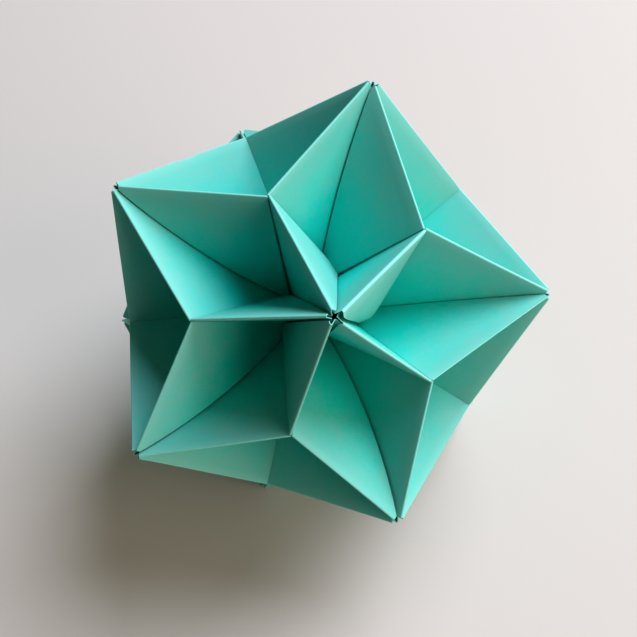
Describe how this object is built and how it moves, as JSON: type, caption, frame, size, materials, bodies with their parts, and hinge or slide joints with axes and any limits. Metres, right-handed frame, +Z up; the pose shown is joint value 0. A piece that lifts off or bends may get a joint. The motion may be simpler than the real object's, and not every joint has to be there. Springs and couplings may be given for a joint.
{
  "type": "kusudama paper ball",
  "caption": "Star-shaped ball folded from squares of paper that lock into each other, with deep four-sided pits between its tips, to stand or hang as decoration.",
  "frame": {"origin": "centre of the ball, at the same distance from all its tips", "axes": "+Z up along a three-fold axis, so that the ball stands on three tips; -Y towards the tip of the top three that faces the front"},
  "size_m": [0.0738, 0.0846, 0.0692],
  "materials": {
    "mint_paper": "matte"
  },
  "bodies": {
    "root": {"module_01": "mint_paper", "module_02": "mint_paper", "module_03": "mint_paper", "module_04": "mint_paper", "module_05": "mint_paper", "module_06": "mint_paper", "module_07": "mint_paper", "module_08": "mint_paper", "module_09": "mint_paper", "module_10": "mint_paper", "module_11": "mint_paper", "module_12": "mint_paper", "module_13": "mint_paper", "module_14": "mint_paper", "module_15": "mint_paper", "module_16": "mint_paper", "module_17": "mint_paper", "module_18": "mint_paper", "module_19": "mint_paper", "module_20": "mint_paper", "module_21": "mint_paper", "module_22": "mint_paper", "module_23": "mint_paper", "module_24": "mint_paper", "module_25": "mint_paper", "module_26": "mint_paper", "module_27": "mint_paper", "module_28": "mint_paper", "module_29": "mint_paper", "module_30": "mint_paper"}
  },
  "joints": []
}
